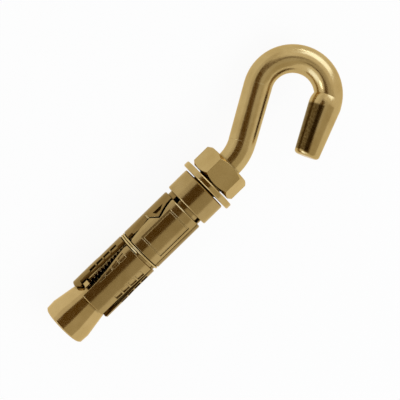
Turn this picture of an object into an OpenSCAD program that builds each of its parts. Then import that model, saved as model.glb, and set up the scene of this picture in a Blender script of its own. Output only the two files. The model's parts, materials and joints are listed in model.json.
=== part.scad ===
// Hook bolt with a four-segment expansion shield, lying on a flat floor.
// Each piece is first drawn upright, with the bolt axis on Z and the open end
// of the taper nut at z = 0. The hook lies in the XZ plane. The module lie()
// then lays the whole bolt down on its washer, its taper nut and its hook.

/* [Hook] */
// Radius of the rod where it leaves the nut
neck_r = 5.45; // [4.6:0.05:5.6]
// Straight length between the nut and the first bend
neck_len = 0.3; // [0.1:0.1:5]
// Radius of the rod round the crown of the hook
crown_rod_r = 5.65; // [5:0.05:6.2]
// Radius of the rod where its free end begins
swell_r = 6.45; // [5.7:0.05:6.8]
// Length over which the crown swells into its free end
swell_len = 5.5; // [4:0.1:7]
// Radius of the rod at its free end
tip_r = 5.1; // [4:0.05:5.6]
// Rounding of the rod's free end
tip_round = 1.5; // [0.5:0.1:2]
// Radius of the first bend, on the rod's centre line
bend_r = 19; // [10:0.5:26]
// Angle through which the first bend turns
bend_turn = 30; // [20:1:38]
// Straight length between the bend and the crown
arm_len = 23.3; // [20:0.1:30]
// Radius of the crown, on the rod's centre line
crown_r = 14; // [12:0.1:18]
// Angle through which the crown turns
crown_turn = 184.5; // [170:0.5:200]
// Straight length from the crown to the free end
tip_len = 21; // [12:0.1:26]
// How far the free end sits inward of the crown's centre line
tip_inset = 0.75; // [0:0.05:1]

/* [Shank] */
// Radius of the shank under its thread
core_r = 5.04; // [4.9:0.01:5.05]
// Height of the shank's threaded end above the open end of the taper nut
shank_start = 0.8; // [0.4:0.1:3]
// Chamfer of the shank's threaded end
shank_chamfer = 0.8; // [0.3:0.1:1.5]

/* [Taper nut] */
// Radius of the nut's rim
taper_rim_r = 9.525; // [9.3:0.025:9.6]
// Height of the rim band
taper_rim_h = 4.1; // [3:0.1:6]
// Narrowing of the rim band towards the open end
taper_rim_draft = 0.18; // [0:0.02:0.4]
// Half angle of the cone
taper_angle = 9.3; // [7:0.1:11]
// Whole height of the nut without its lugs
taper_h = 17.6; // [15:0.1:20]
// Height of the lugs that stand on the small end
lug_h = 2; // [1.5:0.1:3.5]
// Radius of the lugs' outer face
lug_r = 8.6; // [7.6:0.1:8.9]
// Width of a lug
lug_w = 2.3; // [1.4:0.1:2.6]

/* [Nuts and washer] */
// Radius of both threaded bores
thread_bore_r = 5.1; // [5.08:0.01:5.12]
// Width of the hexagon nut across its flats
nut_af = 18.7; // [17:0.1:21]
// Height of the hexagon nut
nut_h = 9.8; // [8:0.1:12]
// Turn of the hexagon nut from the hook's plane
nut_turn = 11; // [0:1:60]
// Outside radius of the washer
washer_r = 12; // [11.5:0.1:14]
// Radius of the washer's hole
washer_hole_r = 6.5; // [6.2:0.1:7]
// Thickness of the washer
washer_t = 2.5; // [1.6:0.1:3]
// Rounding of the washer's rim
washer_round = 0.55; // [0.2:0.05:0.7]

/* [Shield] */
// Outside radius of the segments
shield_r = 9.5; // [9.3:0.05:9.7]
// Outside radius of the segments' lower end
shield_foot_r = 9.65; // [9.5:0.05:9.8]
// Wall of the segments
shield_wall = 1.5; // [1.2:0.05:1.6]
// Length of the segments up to their shoulder
shield_len = 50.6; // [48:0.1:54]
// Turn of the front segment from the hook's plane
shield_turn = 14.4; // [0:0.1:30]
// Outside radius of the tongues
tongue_r = 8.2; // [7.9:0.05:8.3]
// Thickness of the tongues
tongue_wall = 1.2; // [0.9:0.05:1.4]
// Visible length of the tongues below the ferrule
tongue_gap = 1.9; // [1.2:0.1:2.4]
// Height of the bead that holds a tongue in the ferrule
tongue_bead_h = 1.3; // [0.9:0.1:1.6]
// Depth of the small square pockets
pocket_depth = 0.42; // [0.2:0.02:0.6]
// Axial length of a small pocket
pocket_len = 3.05; // [2:0.05:3.2]
// Distance from one small pocket to the next
pocket_pitch = 3.67; // [3.4:0.01:3.8]
// Number of small pockets in a row
pocket_count = 4; // [1:1:4]
// Width of the groove round the blank panel
frame_w = 0.7; // [0.4:0.05:1]
// Depth of the groove round the blank panel
frame_depth = 0.2; // [0.1:0.02:0.35]
// Length of the blank panel
panel_len = 15.4; // [12:0.1:16]
// Half the angle that the blank panel spans
panel_half = 34.3; // [26:0.1:35]

/* [Ferrule and ring] */
// Outside radius of the ferrule
ferrule_r = 10; // [9.8:0.05:10.2]
// Height of the ferrule
ferrule_h = 9.8; // [8:0.1:12]
// Wall of the ferrule
ferrule_wall = 1; // [0.8:0.05:1.1]
// Radius of the ferrule's bolt hole
ferrule_hole_r = 6.4; // [6.2:0.1:7]
// Rounding of the ferrule's upper edge
ferrule_round = 0.6; // [0.4:0.05:0.95]
// Radius of the spring ring's wire
wire_r = 0.4; // [0.3:0.02:0.44]

/* [Gaps] */
// Between the cone of the taper nut and the segments
cone_gap = 0.18; // [0.1:0.02:0.3]
// Between the tongues and the mouth of the ferrule
mouth_gap = 0.18; // [0.1:0.02:0.3]
// Between the ferrule and the washer
washer_gap = 0.5; // [0.3:0.05:1]
// Between the washer and the hexagon nut
nut_gap = 0.6; // [0.3:0.05:1]
// Between two segments at their straight seams
seam_gap = 0.36; // [0.3:0.02:0.6]

/* [Hidden] */
$fn = 96;
eps = 0.01;

cone_slope = tan(taper_angle);
shield_in_r = shield_foot_r - shield_wall - 0.15;
foot_z = taper_rim_h + (taper_rim_r + cone_gap - shield_in_r) / cone_slope;
shoulder_z = foot_z + shield_len;
ferrule_z = shoulder_z + tongue_gap;
ferrule_top_z = ferrule_z + ferrule_h;
washer_z = ferrule_top_z + washer_gap;
nut_z = washer_z + washer_t + nut_gap;
nut_top_z = nut_z + nut_h;
mount_z = ferrule_z + ferrule_h / 2;
taper_small_r = taper_rim_r - cone_slope * (taper_h - taper_rim_h);
mouth_r = tongue_r + mouth_gap;
bead_z = ferrule_z + ferrule_wall + mouth_gap;
groove_z = foot_z + 26.8;
groove_half = 0.95;
groove_r = shield_r - 2 * wire_r - 0.05;
panel_z = foot_z + 31.8;
pocket_z = foot_z + 8.4;

// The bend, the arm and the crown follow one another without a kink.
bend_z = nut_top_z + neck_len;
bend_end = [bend_r * (1 - cos(bend_turn)), bend_z + bend_r * sin(bend_turn)];
arm_end = bend_end + arm_len * [sin(bend_turn), cos(bend_turn)];
crown_mid = arm_end - crown_r * [cos(bend_turn), -sin(bend_turn)];
crown_last = crown_turn - bend_turn;
tip_start = crown_mid + (crown_r - tip_inset) * [cos(crown_last), sin(crown_last)];

// The bolt lies on the taper nut's rim and the washer's rim, and rolls on
// them until the back of the hook's crown meets the floor.
rim_low_z = washer_z + washer_round;
pitch = atan((washer_r - taper_rim_r) / (rim_low_z - taper_rim_h));
floor_depth = taper_rim_r * cos(pitch) - taper_rim_h * sin(pitch);
reach = floor_depth + crown_mid[1] * sin(pitch) - crown_rod_r;
roll_guess = asin(reach / ((crown_mid[0] + crown_r) * cos(pitch)));
crown_lead = norm([cos(pitch) * sin(roll_guess), sin(pitch)]) - cos(pitch) * sin(roll_guess);
roll = asin((reach - crown_r * crown_lead) / ((crown_mid[0] + crown_r) * cos(pitch)));

// The edges of the segments, as [sideways, up] points seen from outside.
// Sideways 0 is the seam's own line, and up 0 is the segments' lower end.
notch_edge = [
    [2.23, 0], [2.12, 8.2], [1.5, 13.3], [0.45, 19.1], [-0.3, 24.2], [0.45, 27.5], [-0.55, 28.6],
    [-0.98, 30.9], [-1.6, 34.8], [-1.91, 39.1], [1.31, 42], [1.06, 43.4], [0, 46.5], [-0.66, 49.6]
];
tooth_edge = [
    [-4.4, 0], [-3.1, 0.8], [-1.9, 1.7], [-1.6, 2.3], [-1.9, 2.7], [-2.9, 2.9], [-2.1, 25],
    [-2.2, 29], [-2.44, 39.3], [0.55, 42.2], [-0.36, 44.5], [-1.31, 47.7], [-1.6, 50.5]
];
// The leaning wall of the slot beside a tooth, and the line where its pockets open.
lean_turn = 13;
lean_edge = [[1.4, 2.9], [1.4, 4.2], [1.46, 8.8], [2.06, 18.9], [2.25, 26.2]];
open_edge = [[-3.8, 8], [-3, 25]];
plain_notch_edge = [[1.9, 0], [1.7, 8], [seam_gap / 2, 25]];
plain_tooth_edge = [[-1.45, 0], [-1.45, 8], [-seam_gap / 2, 25]];

module lie() {
    rotate([0, pitch, 0])
        rotate([90 + roll, 0, 0])
            rotate([0, -90, 0])
                translate([0, 0, -mount_z])
                    children();
}

// A flat shape in [sideways, up], pushed outwards from the axis at an angle.
module outward(angle, from_r, depth) {
    rotate([0, 0, angle])
        rotate([90, 0, 90])
            translate([0, 0, from_r])
                linear_extrude(height = depth)
                    children();
}

module rounded_box(low, high, r) {
    translate([low[0] + r, low[1]]) square([high[0] - low[0] - 2 * r, high[1] - low[1]]);
    translate([low[0], low[1] + r]) square([high[0] - low[0], high[1] - low[1] - 2 * r]);
    for (x = [low[0] + r, high[0] - r], y = [low[1] + r, high[1] - r])
        translate([x, y]) circle(r = r);
}

// A round rod bent in the XZ plane about a centre given as [x, z]. Both its
// ends reach a little way into the straight lengths that follow, just under
// their surface.
module bent_rod(mid, bend, from, to, r) {
    lap = 0.25 / bend * 180 / PI;
    translate([mid[0], 0, mid[1]])
        rotate([90, 0, 0])
            rotate([0, 0, from - lap])
                rotate_extrude(angle = to - from + 2 * lap)
                    translate([bend, 0])
                        circle(r = r - 0.03);
}

// A straight rod in the XZ plane, leaning from Z towards X.
module leaning(at, lean) {
    translate([at[0], 0, at[1]])
        rotate([0, lean, 0])
            children();
}

module threaded_bore(from_z, to_z) {
    mouth = thread_bore_r + 1;
    translate([0, 0, from_z - 1]) cylinder(r = thread_bore_r, h = to_z - from_z + 2);
    translate([0, 0, from_z - eps]) cylinder(r1 = mouth, r2 = thread_bore_r - eps, h = 1);
    translate([0, 0, to_z - 1 + eps]) cylinder(r1 = thread_bore_r - eps, r2 = mouth, h = 1);
}

module hook_bolt() {
    color("darkgoldenrod") lie() {
        translate([0, 0, shank_start])
            cylinder(r1 = core_r - shank_chamfer, r2 = core_r, h = shank_chamfer);
        translate([0, 0, shank_start + shank_chamfer - eps])
            cylinder(r = core_r, h = nut_top_z - shank_start - shank_chamfer);
        translate([0, 0, nut_top_z - 0.6])
            cylinder(r1 = core_r, r2 = neck_r, h = 0.6);
        translate([0, 0, nut_top_z - eps])
            cylinder(r = neck_r, h = neck_len + eps);
        bent_rod([bend_r, bend_z], bend_r, 180 - bend_turn, 180, neck_r);
        leaning(bend_end, bend_turn)
            cylinder(r1 = neck_r, r2 = crown_rod_r, h = arm_len);
        bent_rod(crown_mid, crown_r, -bend_turn, crown_last, crown_rod_r);
        leaning(tip_start, 360 - crown_last)
            hook_tip();
    }
}

// The tapering free end of the hook, with a rounded rim. The crown swells
// into it along an arc.
module hook_tip() {
    full = tip_len - tip_round;
    swell_bend = 10;
    rotate_extrude()
        intersection() {
            translate([swell_r - swell_bend, 0]) circle(r = swell_bend);
            translate([0, -swell_len]) square([swell_r + 1, swell_len]);
        }
    cylinder(r1 = swell_r, r2 = tip_r, h = full);
    cylinder(r = tip_r - tip_round, h = tip_len);
    translate([0, 0, full])
        rotate_extrude()
            translate([tip_r - tip_round, 0])
                circle(r = tip_round);
}

module hex_nut() {
    corner = nut_af / 2 / cos(30);
    edge = nut_af / 2 - 0.15;
    drop = (corner + 0.3 - edge) * tan(38);
    color("goldenrod") lie()
        difference() {
            intersection() {
                translate([0, 0, nut_z])
                    rotate([0, 0, nut_turn])
                        cylinder(r = corner, h = nut_h, $fn = 6);
                translate([0, 0, nut_z])
                    rotate_extrude()
                        polygon([
                            [0, 0], [edge, 0], [corner + 0.3, drop],
                            [corner + 0.3, nut_h - drop], [edge, nut_h], [0, nut_h]
                        ]);
            }
            threaded_bore(nut_z, nut_top_z);
        }
}

module flat_washer() {
    color("goldenrod") lie()
        translate([0, 0, washer_z])
            rotate_extrude() {
                rounded_box([washer_r - 3, 0], [washer_r, washer_t], washer_round);
                translate([washer_hole_r, 0]) square([washer_r - washer_hole_r - 1, washer_t]);
            }
}

// A cup whose rolled-in mouth holds the beads of the four tongues.
module ferrule() {
    color("darkkhaki") lie()
        translate([0, 0, ferrule_z])
            difference() {
                rotate_extrude()
                    intersection() {
                        rounded_box([0, -2], [ferrule_r, ferrule_h], ferrule_round);
                        rounded_box([0, 0], [ferrule_r, ferrule_h + 2], 0.6);
                        square([ferrule_r, ferrule_h]);
                    }
                translate([0, 0, -1]) cylinder(r = mouth_r, h = 3);
                translate([0, 0, ferrule_wall])
                    cylinder(r = ferrule_r - ferrule_wall, h = ferrule_h - 2.2 * ferrule_wall);
                translate([0, 0, 1]) cylinder(r = ferrule_hole_r, h = ferrule_h);
            }
}

// One length of wire wound one and a half times, in two levels.
module spring_ring() {
    mid_r = groove_r + wire_r + 0.03;
    upper_z = groove_z + 0.45;
    lower_z = upper_z - 2 * wire_r - 0.06;
    cross = 10;
    start = mid_r * [cos(cross), sin(cross), 0] + [0, 0, lower_z];
    end = [mid_r, 0, upper_z];
    run = start - end;
    color("goldenrod") lie()
        rotate([0, 0, 290]) {
            translate([0, 0, upper_z])
                rotate([0, 0, 20])
                    rotate_extrude(angle = 340)
                        translate([mid_r, 0]) circle(r = wire_r, $fn = 32);
            translate([0, 0, lower_z])
                rotate([0, 0, cross])
                    rotate_extrude(angle = 150)
                        translate([mid_r, 0]) circle(r = wire_r, $fn = 32);
            for (knee = [start, end])
                translate(knee) sphere(r = wire_r + 0.03, $fn = 32);
            translate(end)
                rotate([0, acos(run[2] / norm(run)), atan2(run[1], run[0])])
                    cylinder(r = wire_r - 0.02, h = norm(run), $fn = 32);
        }
}

// Half section of a segment, from its lower end up to the tongue's bead.
module segment_outline() {
    in_r = shield_in_r;
    top = shoulder_z - foot_z;
    groove = groove_z - foot_z;
    bead = bead_z - foot_z;
    tongue_in_r = tongue_r - tongue_wall;
    bead_r = ferrule_r - ferrule_wall - mouth_gap;
    polygon([
        [in_r, 0], [shield_foot_r - 0.3, 0], [shield_foot_r, 0.3], [shield_foot_r, 12],
        [shield_r, 14.5], [shield_r, groove - groove_half - 0.25], [groove_r, groove - groove_half],
        [groove_r, groove + groove_half], [shield_r, groove + groove_half + 0.25],
        [shield_r, top - 0.4], [shield_r - 0.3, top], [tongue_r, top], [tongue_r, bead],
        [bead_r, bead + 0.3], [bead_r, bead + tongue_bead_h], [tongue_in_r, bead + tongue_bead_h],
        [tongue_in_r, top - shield_wall], [in_r - 0.1, top - 1.8], [in_r, top - 2.2]
    ]);
}

// What is cut away beside the right-hand edge of a segment. The left-hand
// edge is the same thing mirrored.
module beyond_edge(points, side) {
    tall = bead_z + tongue_bead_h + 1 - foot_z;
    top = shoulder_z - foot_z;
    slim = 1.25;
    last = points[len(points) - 1];
    scale_up = top / 50.6;
    edge = [for (p = points) [p[0], p[1] * scale_up]];
    polygon(concat(
        [[side * 12, -1], [edge[0][0], -1]],
        edge,
        [[last[0], top], [-side * slim, top], [-side * slim, tall], [side * 12, tall]]
    ));
}

// Sideways place of an edge at a height, between two of its points.
function edge_at(points, z, i = 0) =
    i > len(points) - 2 ? points[len(points) - 1][0] :
    z > points[i + 1][1] ? edge_at(points, z, i + 1) :
    points[i][0] + (points[i + 1][0] - points[i][0])
        * (z - points[i][1]) / (points[i + 1][1] - points[i][1]);

// A row of small pockets between a line and the edge of the segment.
module pocket_row(points, inner, side, rim) {
    for (i = [0 : pocket_count - 1]) {
        low = pocket_z - foot_z + i * pocket_pitch;
        high = low + pocket_len;
        polygon([
            [inner, low], [edge_at(points, low) - side * rim, low],
            [edge_at(points, high) - side * rim, high], [inner, high]
        ]);
    }
}

module sunk(depth, from_r) {
    difference() {
        children();
        cylinder(r = from_r - depth, h = shoulder_z + 5);
    }
}

// The groove that frames the blank panel.
module panel_frame() {
    wide = shield_r * sin(panel_half);
    sunk(frame_depth, shield_r)
        outward(0, 5, 6)
            difference() {
                translate([-wide, panel_z]) square([2 * wide, panel_len]);
                translate([frame_w - wide, panel_z + frame_w])
                    square([2 * (wide - frame_w), panel_len - 2 * frame_w]);
            }
}

// A segment with a panel. Its left edge has the notch.
module panel_segment() {
    difference() {
        translate([0, 0, foot_z])
            rotate([0, 0, -60])
                rotate_extrude(angle = 120)
                    segment_outline();
        translate([0, 0, foot_z]) {
            outward(-45, 2, 16) beyond_edge(notch_edge, -1);
            outward(45, 2, 16) beyond_edge(plain_tooth_edge, 1);
        }
        sunk(pocket_depth, shield_r)
            translate([0, 0, foot_z]) {
                outward(-45, 6, 6) pocket_row(notch_edge, 3.1, -1, 0.85);
                outward(45, 6, 6) pocket_row(plain_tooth_edge, -3.7, 1, 0.4);
            }
        panel_frame();
    }
}

// A segment with a tooth on its right edge, which enters the next notch.
module tooth_segment() {
    difference() {
        translate([0, 0, foot_z])
            rotate([0, 0, -60])
                rotate_extrude(angle = 120)
                    segment_outline();
        translate([0, 0, foot_z]) {
            outward(-45, 2, 16) beyond_edge(plain_notch_edge, -1);
            outward(45, 2, 16) beyond_edge(tooth_edge, 1);
            outward(lean_turn, 6, 6)
                polygon(concat([[9, 2.9]], lean_edge, [[9, 26.2]]));
            tooth_bevel();
        }
        sunk(pocket_depth, shield_r)
            translate([0, 0, foot_z]) {
                outward(-45, 6, 6) pocket_row(plain_notch_edge, 3.6, -1, 0.4);
                outward(45, 6, 6) pocket_row(open_edge, -4.9, 1, -1.5);
            }
        sunk(0.85, shield_r)
            translate([0, 0, foot_z])
                outward(45, 6, 6)
                    polygon([[-2.67, 41.3], [-2.52, 46.6], [-0.1, 42.9]]);
    }
}

// The wedge-shaped coining below the tooth, which leaves a slanting face.
module tooth_bevel() {
    low = groove_z - foot_z + groove_half;
    high = 38.6;
    rotate([0, 0, 70])
        rotate([90, 0, 0])
            translate([0, 0, -9])
                linear_extrude(height = 18)
                    polygon([[7, low], [6.83, low + 2.6], [5.06, high - 0.3], [5.5, high + 0.5],
                             [12, high + 1.2], [12, low]]);
}

module segment_1() {
    color("darkkhaki") lie() rotate([0, 0, 90 + shield_turn]) panel_segment();
}

module segment_2() {
    color("khaki") lie() rotate([0, 0, 180 + shield_turn]) tooth_segment();
}

module segment_3() {
    color("darkkhaki") lie() rotate([0, 0, 270 + shield_turn]) panel_segment();
}

module segment_4() {
    color("khaki") lie() rotate([0, 0, shield_turn]) tooth_segment();
}

// A lug stands in each slot between two segments, above their feet, so the
// nut can climb but cannot turn or drop out.
module taper_nut() {
    notch_side = 45 - 8;
    plain_side = -45 + 2;
    color("peru") lie()
        difference() {
            union() {
                rotate_extrude()
                    polygon([
                        [0, 0], [taper_rim_r - taper_rim_draft - 0.5, 0],
                        [taper_rim_r - taper_rim_draft, 0.5], [taper_rim_r, taper_rim_h],
                        [taper_small_r + 0.2 * cone_slope, taper_h - 0.2],
                        [taper_small_r - 0.2, taper_h], [0, taper_h]
                    ]);
                intersection() {
                    translate([0, 0, taper_h - 0.1]) cylinder(r = lug_r, h = lug_h + 0.1);
                    for (turn = [0, 180], at = [notch_side, plain_side])
                        rotate([0, 0, shield_turn + turn + at])
                            translate([thread_bore_r + 0.3, -lug_w / 2, taper_h - 0.5])
                                cube([lug_r, lug_w, lug_h + 1]);
                }
            }
            threaded_bore(0, taper_h);
        }
}

hook_bolt();
hex_nut();
flat_washer();
ferrule();
spring_ring();
segment_1();
segment_2();
segment_3();
segment_4();
taper_nut();
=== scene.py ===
"""Looks of the hook bolt: thread, spring ring, plated metal, light and camera.

Pieces are worked out upright, with the bolt axis on Z, the hook in the XZ plane and z = 0 at the
open end of the taper nut. upright() then gives the place of such a point on the lying bolt.
"""

import json
import math

import bmesh
import bpy
from mathutils import Matrix, Vector


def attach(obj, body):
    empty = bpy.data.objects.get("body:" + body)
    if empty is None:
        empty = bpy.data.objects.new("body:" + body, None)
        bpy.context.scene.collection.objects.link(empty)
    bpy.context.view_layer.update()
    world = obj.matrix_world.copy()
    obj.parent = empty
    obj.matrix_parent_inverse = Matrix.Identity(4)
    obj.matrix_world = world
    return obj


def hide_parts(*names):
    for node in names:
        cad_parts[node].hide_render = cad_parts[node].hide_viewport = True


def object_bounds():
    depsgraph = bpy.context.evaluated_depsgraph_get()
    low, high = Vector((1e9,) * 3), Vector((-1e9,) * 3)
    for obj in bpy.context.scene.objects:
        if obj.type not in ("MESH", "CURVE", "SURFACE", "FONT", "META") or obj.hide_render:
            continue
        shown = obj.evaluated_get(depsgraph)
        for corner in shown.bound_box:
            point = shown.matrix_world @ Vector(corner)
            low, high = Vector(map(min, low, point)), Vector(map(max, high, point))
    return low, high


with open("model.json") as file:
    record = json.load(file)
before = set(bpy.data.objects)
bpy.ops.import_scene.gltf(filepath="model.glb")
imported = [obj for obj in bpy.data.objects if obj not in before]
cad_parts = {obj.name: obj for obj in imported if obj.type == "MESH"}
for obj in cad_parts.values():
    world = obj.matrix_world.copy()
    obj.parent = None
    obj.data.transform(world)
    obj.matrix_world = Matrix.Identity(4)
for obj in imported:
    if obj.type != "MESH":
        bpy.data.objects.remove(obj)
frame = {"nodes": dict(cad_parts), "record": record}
cad_low, cad_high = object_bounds()
nodes = frame["nodes"]
mounts = {mount["name"]: mount for mount in frame["record"]["mounts"]}

MM = 0.001
FULL_TURN = 2 * math.pi
QUARTER = math.radians(90)

# Sizes of the upright bolt, as part.scad works them out
MOUNT_Z = 71.912 * MM
SHANK_START = 0.8 * MM
NUT_TOP = 90.212 * MM
CORE_R = 5.04 * MM
SHIELD_TURN = math.radians(14.4)
FREE_END_START = (-9.888 * MM, 0, 132.894 * MM)
FREE_END_TURN = math.radians(25.5)

# The rolled thread. Its ridge fades out at both ends, to a share of its height.
CREST_R = 5.93 * MM
THREAD_PITCH = 1.75 * MM
THREAD_PAST_NUT = 0.2 * MM
THREAD_FADE_TURNS = 0.35
LEAST_RIDGE = 0.02
STEPS_A_TURN = 40

# The ridge over one pitch, as (share of its height, place along the bolt in pitches)
RIDGE_PROFILE = [(-0.12, -0.5), (0.0, -0.44), (0.5, -0.24), (0.94, -0.085), (1.0, -0.045),
                 (1.0, 0.045), (0.94, 0.085), (0.5, 0.24), (0.0, 0.44), (-0.12, 0.5)]

# The spring ring's wire. It starts in front with a sagging end, winds the lower level, climbs
# and winds the upper level.
WIRE_R = 0.4 * MM
WIRE_SIDES = 14
WIRE_STEP = math.radians(3)
RING_R = 9.05 * MM
UPPER_LEVEL_Z = 41.76 * MM
LEVEL_DROP = 0.86 * MM
WIRE_START = math.radians(89.5)
WIRE_TURN = math.radians(510)
CLIMB_START = math.radians(150)
CLIMB_TURN = math.radians(30)
SAG = 0.1 * MM
SAG_TURN = math.radians(200)

# Where the wire is cut, its lengths overlap and are a little thinner. Each cut is at an angle
# rounded to so many digits.
CUT_DIGITS = 6
CUT_OVERLAP = math.radians(3)
CUT_SECTIONS = 2
CUT_THINNESS = 0.9

# Painted dark brown reflection on the inner side of the hook's free end, counted from where the
# free end starts
DARK_REFLECTION_INSET = 0.4 * MM
DARK_REFLECTION_ACROSS = 7.5 * MM
DARK_REFLECTION_FROM = 0.6 * MM
DARK_REFLECTION_TO = 19.3 * MM
DARK_REFLECTION_COLOR = (0.08, 0.042, 0.008)

# The photograph's view, square to the hook's plane. The bolt's point VIEW_X, VIEW_Z is in its
# middle.
PICTURE_PX = 400
FOCAL_PX = 1100.0
PX_PER_MM = 2.558
SENSOR_MM = 36
CLIP_START = 10 * MM
BOLT_SLOPE = math.radians(44.3)
VIEW_X = -2.19 * MM
VIEW_Z = 72.4 * MM

# Plating colours
GOLD = (0.52, 0.375, 0.155)
DEEP_GOLD = (0.45, 0.31, 0.115)

# The pressed pieces' worn edges, and how far their recesses reach and how dark they get
PRESSED_EDGE = 0.3 * MM
PRESSED_RECESS = (0.8 * MM, 0.45)

# Rays that look for worn edges and for recesses
PROBE_RAYS = 6

# Surroundings. The way up for cards and lamps is a rough one.
AMBIENT_COLOR = (0.95, 0.97, 1.0)
AMBIENT_LEVEL = 0.62
FLOOR_SIZE = 4
FLOOR_GREY = 0.88
FLOOR_ROUGHNESS = 0.9
FLOOR_WHITE_SHARE = 0.93
SKY_CARD_COLOR = (0.84, 1.0, 1.45)
ROUGHLY_UP = (1, 0, 0.01)


def bolt_frame():
    """The upright bolt's axes, as columns, and its origin, worked out from the two mounts."""
    along = -Vector(mounts["shield_outside"]["axis"]).normalized()
    middle = Vector(mounts["shield_outside"]["pos_m"])
    seat = Vector(mounts["hook_seat"]["pos_m"]) - middle
    sideways = (seat - seat.dot(along) * along).normalized()
    outwards = along.cross(sideways)
    matrix = Matrix((sideways, outwards, along)).transposed().to_4x4()
    matrix.translation = middle - MOUNT_Z * along
    return matrix


UPRIGHT = bolt_frame()


def upright(x, y, z):
    """The place of a point of the upright bolt."""
    return UPRIGHT @ Vector((x, y, z))


def heading(x, y, z):
    """A direction given on the upright bolt."""
    return (UPRIGHT.to_3x3() @ Vector((x, y, z))).normalized()


# Materials


def new_material(name):
    material = bpy.data.materials.new(name)
    material.use_nodes = True
    tree = material.node_tree
    return material, tree, tree.nodes["Principled BSDF"]


def noise(tree, scale, detail, roughness):
    coords = tree.nodes.new("ShaderNodeTexCoord")
    texture = tree.nodes.new("ShaderNodeTexNoise")
    texture.inputs["Scale"].default_value = scale
    texture.inputs["Detail"].default_value = detail
    texture.inputs["Roughness"].default_value = roughness
    tree.links.new(coords.outputs["Object"], texture.inputs["Vector"])
    return texture.outputs["Fac"]


def ramp(tree, value, stops):
    """A colour between two stops, each given as (place, colour)."""
    node = tree.nodes.new("ShaderNodeValToRGB")
    for element, (place, color) in zip(node.color_ramp.elements, stops):
        element.position = place
        element.color = (*color, 1)
    tree.links.new(value, node.inputs["Fac"])
    return node.outputs["Color"]


def remap(tree, value, low, high):
    """The range from 0 to 1, stretched from low to high."""
    node = tree.nodes.new("ShaderNodeMapRange")
    node.inputs["To Min"].default_value = low
    node.inputs["To Max"].default_value = high
    tree.links.new(value, node.inputs["Value"])
    return node.outputs["Result"]


def combined(tree, operation, first, second):
    """Two values through one Math operation."""
    node = tree.nodes.new("ShaderNodeMath")
    node.operation = operation
    tree.links.new(first, node.inputs[0])
    tree.links.new(second, node.inputs[1])
    return node.outputs[0]


def beyond(tree, place, way, soft):
    """0 behind the plane through place, and 1 in front of it, way being its direction. The
    change between them takes up soft on each side."""
    coords = tree.nodes.new("ShaderNodeTexCoord")
    offset = tree.nodes.new("ShaderNodeVectorMath")
    offset.operation = "SUBTRACT"
    offset.inputs[1].default_value = place
    tree.links.new(coords.outputs["Object"], offset.inputs[0])
    depth = tree.nodes.new("ShaderNodeVectorMath")
    depth.operation = "DOT_PRODUCT"
    depth.inputs[1].default_value = way
    tree.links.new(offset.outputs["Vector"], depth.inputs[0])
    node = tree.nodes.new("ShaderNodeMapRange")
    node.interpolation_type = "SMOOTHSTEP"
    node.inputs["From Min"].default_value = -soft
    node.inputs["From Max"].default_value = soft
    tree.links.new(depth.outputs["Value"], node.inputs["Value"])
    return node.outputs["Result"]


def bump(tree, height, strength, distance, normal):
    node = tree.nodes.new("ShaderNodeBump")
    node.inputs["Strength"].default_value = strength
    node.inputs["Distance"].default_value = distance
    tree.links.new(height, node.inputs["Height"])
    tree.links.new(normal, node.inputs["Normal"])
    return node.outputs["Normal"]


def worn_edges(tree, radius):
    """Normals rounded over the edges, which gives them their thin highlights."""
    node = tree.nodes.new("ShaderNodeBevel")
    node.samples = PROBE_RAYS
    node.inputs["Radius"].default_value = radius
    return node.outputs["Normal"]


def recess_shade(tree, color, reach, darkest):
    """Painted shade: the colour, darkened where the surface lies deep in a recess or close to
    another part.
    """
    hollow = tree.nodes.new("ShaderNodeAmbientOcclusion")
    hollow.samples = PROBE_RAYS
    hollow.inputs["Distance"].default_value = reach
    depth = ramp(tree, hollow.outputs["AO"], [(0.35, (darkest,) * 3), (0.92, (1, 1, 1))])
    mixed = tree.nodes.new("ShaderNodeMix")
    mixed.data_type = "RGBA"
    mixed.blend_type = "MULTIPLY"
    mixed.inputs["Factor"].default_value = 1.0
    tree.links.new(color, mixed.inputs["A"])
    tree.links.new(depth, mixed.inputs["B"])
    return mixed.outputs["Result"]


def plated(name, pale, deep, rough, grain, edge=0.15 * MM, recess=(1.2 * MM, 0.3),
           glance=(1, 0.88, 0.66)):
    """Yellow-passivated steel: patches between the pale and the deep tint, dents, fine grain and
    a soft sheen. edge is the radius of its worn edges, recess how far its recesses reach and how
    dark they get, and glance its tint where light glances off it."""
    material, tree, shader = new_material(name)
    shader.inputs["Metallic"].default_value = 1.0
    shader.inputs["Specular Tint"].default_value = (*glance, 1)
    patches = noise(tree, scale=90, detail=5, roughness=0.6)
    tint = ramp(tree, patches, [(0.3, deep), (0.62, pale)])
    tree.links.new(recess_shade(tree, tint, *recess), shader.inputs["Base Color"])
    smears = noise(tree, scale=420, detail=4, roughness=0.6)
    sheen = remap(tree, smears, low=rough - 0.05, high=rough + 0.07)
    tree.links.new(sheen, shader.inputs["Roughness"])
    dents = noise(tree, scale=500, detail=2, roughness=0.5)
    dented = bump(tree, dents, strength=0.25 * grain, distance=0.06 * MM,
                  normal=worn_edges(tree, edge))
    fine = noise(tree, scale=2600, detail=3, roughness=0.7)
    grained = bump(tree, fine, strength=grain, distance=0.02 * MM, normal=dented)
    tree.links.new(grained, shader.inputs["Normal"])
    return material


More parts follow.
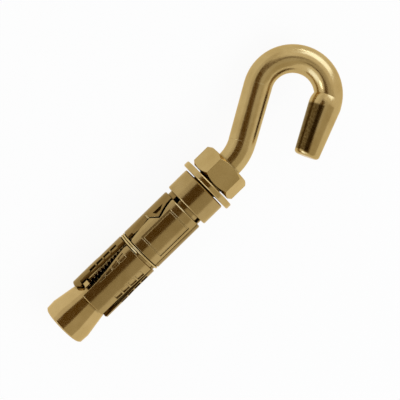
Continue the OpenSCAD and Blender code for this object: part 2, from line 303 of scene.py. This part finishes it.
def paint_dark_reflection(material):
    """A painted dark brown reflection, in coarse patches, on the inner side of the hook's free end.
    """
    tree = material.node_tree
    inward = heading(math.cos(FREE_END_TURN), 0, -math.sin(FREE_END_TURN))
    onward = heading(-math.sin(FREE_END_TURN), 0, -math.cos(FREE_END_TURN))
    start = upright(*FREE_END_START)
    reflection_patches = noise(tree, scale=1500, detail=4, roughness=0.75)
    # scale is how much of the painted dark reflection covers the plating colour
    scale = remap(tree, reflection_patches, low=0.35, high=1.45)
    for place, way, soft in (
        (start + DARK_REFLECTION_INSET * inward, inward, 0.35 * MM),
        (start + DARK_REFLECTION_ACROSS * inward, -inward, 0.3 * MM),
        (start + DARK_REFLECTION_FROM * onward, onward, 0.5 * MM),
        (start + DARK_REFLECTION_TO * onward, -onward, 0.3 * MM),
    ):
        scale = combined(tree, "MULTIPLY", scale, beyond(tree, place, way, soft))
    color = tree.nodes["Principled BSDF"].inputs["Base Color"]
    mixed = tree.nodes.new("ShaderNodeMix")
    mixed.data_type = "RGBA"
    mixed.inputs["B"].default_value = (*DARK_REFLECTION_COLOR, 1)
    tree.links.new(scale, mixed.inputs["Factor"])
    tree.links.new(color.links[0].from_socket, mixed.inputs["A"])
    tree.links.new(mixed.outputs["Result"], color)


def make_materials():
    return {
        "bolt": plated("bolt_plate", GOLD, DEEP_GOLD, rough=0.20, grain=0.5),
        # Painted shade: the thread gets a darker tint and glance than the bolt, and its recess
        # shade reaches far and goes dark, so that it looks shaded inside the shield
        "thread": plated("thread_painted_shade", (0.40, 0.27, 0.09), (0.28, 0.18, 0.055), rough=0.26,
                         grain=0.5, recess=(5 * MM, 0.1), glance=(0.30, 0.19, 0.06)),
        "nut": plated("nut_plate", GOLD, DEEP_GOLD, rough=0.17, grain=0.3),
        "shield": plated("shield_plate", (0.42, 0.295, 0.12), (0.35, 0.235, 0.085), rough=0.19,
                         grain=0.35, edge=PRESSED_EDGE, recess=PRESSED_RECESS),
        "tooth": plated("tooth_plate", (0.26, 0.165, 0.055), (0.19, 0.115, 0.034), rough=0.21,
                        grain=0.4, edge=PRESSED_EDGE, recess=PRESSED_RECESS),
        "wire": plated("wire_plate", (0.60, 0.45, 0.20), (0.52, 0.37, 0.15), rough=0.2,
                       grain=0.2, edge=0.05 * MM),
        "cone": plated("cone_plate", (0.55, 0.39, 0.165), (0.47, 0.325, 0.125), rough=0.14,
                       grain=0.2),
    }


def dress(node_name, material):
    """Gives a CAD node its material."""
    mesh = nodes[node_name].data
    mesh.materials.clear()
    mesh.materials.append(material)


# Thread and spring ring


def swept_object(name, sections, material):
    """A smooth solid skinned over a list of closed sections, which all have as many points."""
    count = len(sections[0])
    vertices = [point for section in sections for point in section]
    faces = []
    for row in range(len(sections) - 1):
        for i in range(count):
            j = (i + 1) % count
            a = row * count
            faces.append((a + i, a + j, a + count + j, a + count + i))
    last = (len(sections) - 1) * count
    faces.append(tuple(range(count - 1, -1, -1)))
    faces.append(tuple(range(last, last + count)))

    mesh = bpy.data.meshes.new(name)
    mesh.from_pydata(vertices, [], faces)
    work = bmesh.new()
    work.from_mesh(mesh)
    bmesh.ops.recalc_face_normals(work, faces=work.faces)
    work.to_mesh(mesh)
    work.free()
    mesh.polygons.foreach_set("use_smooth", [True] * len(mesh.polygons))
    mesh.materials.append(material)
    piece = bpy.data.objects.new(name, mesh)
    bpy.context.scene.collection.objects.link(piece)
    return piece


def bolt_thread(material):
    start = SHANK_START + 0.5 * THREAD_PITCH
    end = NUT_TOP + THREAD_PAST_NUT
    turns = (end - start) / THREAD_PITCH
    sections = []
    for i in range(int(turns * STEPS_A_TURN) + 1):
        turn = i / STEPS_A_TURN
        angle = FULL_TURN * turn
        lift = min(1.0, turn / THREAD_FADE_TURNS, (turns - turn) / THREAD_FADE_TURNS)
        height = (CREST_R - CORE_R) * max(lift, LEAST_RIDGE)
        section = []
        for share, along in RIDGE_PROFILE:
            radius = CORE_R + share * height
            z = start + (turn + along) * THREAD_PITCH
            section.append(upright(radius * math.cos(angle), radius * math.sin(angle), z))
        sections.append(section)
    piece = swept_object("bolt_thread", sections, material)
    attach(piece, "hook_bolt")


def wire_place(wound):
    """Angle, radius and height of the wire's middle. wound is the angle from the free end in
    front, round past segment 4's side."""
    first = max(0.0, 1 - wound / SAG_TURN)
    rise = min(1.0, max(0.0, (wound - CLIMB_START) / CLIMB_TURN))
    z = UPPER_LEVEL_Z - LEVEL_DROP * (1 - rise) - SAG * first * first
    return WIRE_START - wound, RING_R, z


def wire_cuts():
    """Where the wire starts, passes a seam between two segments and ends, as wound angles."""
    cuts = [0.0, WIRE_TURN]
    for quarter in range(4):
        seam = (quarter + 0.5) * QUARTER + SHIELD_TURN
        wound = (WIRE_START - seam) % FULL_TURN
        while wound < WIRE_TURN:
            cuts.append(round(wound, CUT_DIGITS))
            wound += FULL_TURN
    return sorted(cuts)


def wire_length(name, path, is_first, is_last, body, material):
    """Round wire along a path of (angle, radius, height), thinner at the ends that are cuts."""
    points = [Vector((r * math.cos(a), r * math.sin(a), z)) for a, r, z in path]
    last = len(points) - 1
    sections = []
    for i, point in enumerate(points):
        forward = (points[min(i + 1, last)] - points[max(i - 1, 0)]).normalized()
        out = Vector((point.x, point.y, 0)).normalized()
        side = forward.cross(out).normalized()
        out = side.cross(forward)
        after_cut = not is_first and i < CUT_SECTIONS
        before_cut = not is_last and last - i < CUT_SECTIONS
        radius = WIRE_R * (CUT_THINNESS if after_cut or before_cut else 1.0)
        section = []
        for k in range(WIRE_SIDES):
            turn = FULL_TURN * k / WIRE_SIDES
            offset = radius * (math.cos(turn) * out + math.sin(turn) * side)
            section.append(UPRIGHT @ (point + offset))
        sections.append(section)
    piece = swept_object(name, sections, material)
    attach(piece, body)
    return piece


def spring_ring(material):
    """One wire, wound about one and a half times and cut where the segments meet, so that its
    lengths ride out with them."""
    cuts = wire_cuts()
    count = len(cuts) - 1
    for i in range(count):
        is_first = i == 0
        is_last = i == count - 1
        low = cuts[i] - (0 if is_first else CUT_OVERLAP)
        high = cuts[i + 1] + (0 if is_last else CUT_OVERLAP)
        middle = WIRE_START - (cuts[i] + cuts[i + 1]) / 2 - SHIELD_TURN
        quarter = round(middle / QUARTER - 1) % 4
        steps = int((high - low) / WIRE_STEP)
        path = [wire_place(low + (high - low) * k / steps) for k in range(steps + 1)]
        piece = wire_length(f"ring_wire_{i + 1}", path, is_first, is_last,
                            f"segment_{quarter + 1}", material)
    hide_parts("spring_ring")


# Light, floor and camera


def plain_object(name, size_x, size_y, material):
    x, y = size_x / 2, size_y / 2
    corners = [(-x, -y, 0), (x, -y, 0), (x, y, 0), (-x, y, 0)]
    mesh = bpy.data.meshes.new(name)
    mesh.from_pydata(corners, [], [(0, 1, 2, 3)])
    mesh.materials.append(material)
    plane = bpy.data.objects.new(name, mesh)
    bpy.context.scene.collection.objects.link(plane)
    return plane


def emission(tree, color, level):
    node = tree.nodes.new("ShaderNodeEmission")
    node.inputs["Color"].default_value = (*color, 1)
    node.inputs["Strength"].default_value = level
    return node.outputs["Emission"]


def mixed_shaders(tree, share, first, second):
    node = tree.nodes.new("ShaderNodeMixShader")
    tree.links.new(share, node.inputs["Fac"])
    tree.links.new(first, node.inputs[1])
    tree.links.new(second, node.inputs[2])
    return node.outputs[0]


def look_along(place, target, up):
    """A rotation that turns local -Z towards the target, with local Y near up."""
    back = (place - target).normalized()
    right = up.cross(back).normalized()
    matrix = Matrix((right, back.cross(right), back)).transposed().to_4x4()
    matrix.translation = place
    return matrix


def card(name, color, level, size_x, size_y):
    """A plain glowing card that the metal reflects, and that nothing else sees."""
    material, tree, shader = new_material(name)
    tree.nodes.remove(shader)
    output = tree.nodes["Material Output"]
    tree.links.new(emission(tree, color, level), output.inputs["Surface"])
    plane = plain_object(name, size_x, size_y, material)
    plane.visible_camera = False
    plane.visible_shadow = False
    plane.visible_diffuse = False
    return plane


def long_card(name, color, angles, along, distance):
    """A card that runs along the bolt. Its angles are counted about the bolt's axis from the
    camera's side, towards the side away from the hook's bulge; along is its reach on that axis."""
    middle = math.radians((angles[0] + angles[1]) / 2)
    half = math.radians((angles[1] - angles[0]) / 2)
    toward = heading(-math.sin(middle), math.cos(middle), 0)
    across = heading(-math.cos(middle), -math.sin(middle), 0)
    target = upright(VIEW_X, 0, VIEW_Z + (along[0] + along[1]) / 2)
    width = 2 * distance * math.tan(half)
    plane = card(name, color, 1.0, along[1] - along[0], width)
    plane.matrix_world = look_along(target + toward * distance, target, across)


def near_card(name, color, sideways, along, height):
    """A small card that hangs over part of the hook, square to the camera's view. sideways and
    along are its reach on the bolt's own axes."""
    place = upright(sum(sideways) / 2, height, sum(along) / 2)
    target = upright(sum(sideways) / 2, 0, sum(along) / 2)
    plane = card(name, color, 1.0, along[1] - along[0], sideways[1] - sideways[0])
    plane.matrix_world = look_along(place, target, heading(-1, 0, 0))


def square_card(name, level, toward, distance, size):
    """A bluish white card that faces the bolt from one direction."""
    target = upright(VIEW_X, 0, VIEW_Z)
    plane = card(name, SKY_CARD_COLOR, level, size, size)
    plane.matrix_world = look_along(target + toward * distance, target, heading(*ROUGHLY_UP))


def cards():
    """The dark stripe, the olive band and the pale upper side, then the bright edges and glints."""
    long_card("dark_card", (0.13, 0.07, 0.005), angles=(-38, 12), along=(-0.54, 0.30),
              distance=1.2)
    long_card("olive_card", (0.60, 0.56, 0.47), angles=(12, 68), along=(-0.5, 0.5), distance=0.8)
    long_card("upper_card", (0.80, 0.78, 0.76), angles=(-110, -38), along=(-0.5, 0.5),
              distance=0.8)
    near_card("crown_card", (0.66, 0.64, 0.60), sideways=(-0.034, 0.008), along=(0.118, 0.163),
              height=0.08)
    square_card("hook_end_card", 2.6, heading(0.1, 0.45, 0.9), distance=1.1, size=0.7)
    square_card("shield_end_card", 2.2, heading(0.1, 0.45, -0.9), distance=1.1, size=0.7)
    square_card("crown_glint", 6.0, heading(0.48, 0.19, 0.86), distance=1.0, size=0.2)
    square_card("arm_glint", 6.0, heading(0.45, 0.6, -0.67), distance=1.0, size=0.2)


def lamp(name, toward, distance, size, power):
    """A square lamp for the diffuse light and the shadow. The metal doesn't reflect it."""
    data = bpy.data.lights.new(name, "AREA")
    data.size = size
    data.energy = power
    lamp_object = bpy.data.objects.new(name, data)
    target = upright(VIEW_X, 0, VIEW_Z)
    lamp_object.matrix_world = look_along(target + toward * distance, target, Vector(ROUGHLY_UP))
    bpy.context.scene.collection.objects.link(lamp_object)
    lamp_object.visible_glossy = False


def lamps():
    lamp("key", heading(0.9, 0.5, 0.3), distance=1.0, size=0.5, power=6)
    lamp("fill", heading(-1.0, 0.25, 0.2), distance=1.2, size=0.7, power=5)


def shown_rays(tree):
    """1 for rays that should see the white background: from the camera, metal or glass."""
    rays = tree.nodes.new("ShaderNodeLightPath")
    shown = rays.outputs["Is Camera Ray"]
    for kind in ("Is Glossy Ray", "Is Transmission Ray"):
        shown = combined(tree, "MAXIMUM", shown, rays.outputs[kind])
    return shown


def background(tree, color, level):
    node = tree.nodes.new("ShaderNodeBackground")
    node.inputs["Color"].default_value = (*color, 1)
    node.inputs["Strength"].default_value = level
    return node.outputs[0]


def white_world():
    """A plain white background. What lights the scene is a little bluish and less bright."""
    world = bpy.data.worlds.new("studio")
    bpy.context.scene.world = world
    world.use_nodes = True
    tree = world.node_tree
    tree.nodes.remove(tree.nodes["Background"])
    ambient = background(tree, AMBIENT_COLOR, AMBIENT_LEVEL)
    white = background(tree, (1, 1, 1), 1.0)
    mixed = mixed_shaders(tree, shown_rays(tree), ambient, white)
    tree.links.new(mixed, tree.nodes["World Output"].inputs["Surface"])


def floor():
    """A pale floor. Most of what the camera and metal see of it is plain white, and the rest is
    lit, so that the object's shadow stays."""
    material, tree, shader = new_material("pale_floor")
    shader.inputs["Base Color"].default_value = (FLOOR_GREY, FLOOR_GREY, FLOOR_GREY, 1)
    shader.inputs["Roughness"].default_value = FLOOR_ROUGHNESS
    white_part = remap(tree, shown_rays(tree), low=0, high=FLOOR_WHITE_SHARE)
    white = emission(tree, (1, 1, 1), 1.0)
    mixed = mixed_shaders(tree, white_part, shader.outputs[0], white)
    tree.links.new(mixed, tree.nodes["Material Output"].inputs["Surface"])
    plane = plain_object("floor", FLOOR_SIZE, FLOOR_SIZE, material)
    plane.location.z = cad_low[2]


def camera():
    data = bpy.data.cameras.new("camera")
    data.sensor_width = SENSOR_MM
    data.sensor_fit = "HORIZONTAL"
    data.lens = SENSOR_MM * FOCAL_PX / PICTURE_PX
    data.clip_start = CLIP_START
    shot = bpy.data.objects.new("camera", data)
    bpy.context.scene.collection.objects.link(shot)
    along, side, toward = heading(0, 0, 1), heading(1, 0, 0), heading(0, 1, 0)
    right = math.cos(BOLT_SLOPE) * along - math.sin(BOLT_SLOPE) * side
    up = math.sin(BOLT_SLOPE) * along + math.cos(BOLT_SLOPE) * side
    distance = FOCAL_PX / PX_PER_MM * MM
    matrix = Matrix((right, up, toward)).transposed().to_4x4()
    matrix.translation = upright(VIEW_X, 0, VIEW_Z) + distance * toward
    shot.matrix_world = matrix
    bpy.context.scene.camera = shot


def build():
    materials = make_materials()
    paint_dark_reflection(materials["bolt"])
    dress("hook_bolt", materials["bolt"])
    dress("hex_nut", materials["nut"])
    dress("flat_washer", materials["nut"])
    dress("ferrule", materials["shield"])
    for number in (1, 3):
        dress(f"segment_{number}", materials["shield"])
    for number in (2, 4):
        dress(f"segment_{number}", materials["tooth"])
    dress("taper_nut", materials["cone"])
    bolt_thread(materials["thread"])
    spring_ring(materials["wire"])


camera()
white_world()
floor()
cards()
lamps()
build()

bpy.context.scene.view_settings.view_transform = "Standard"
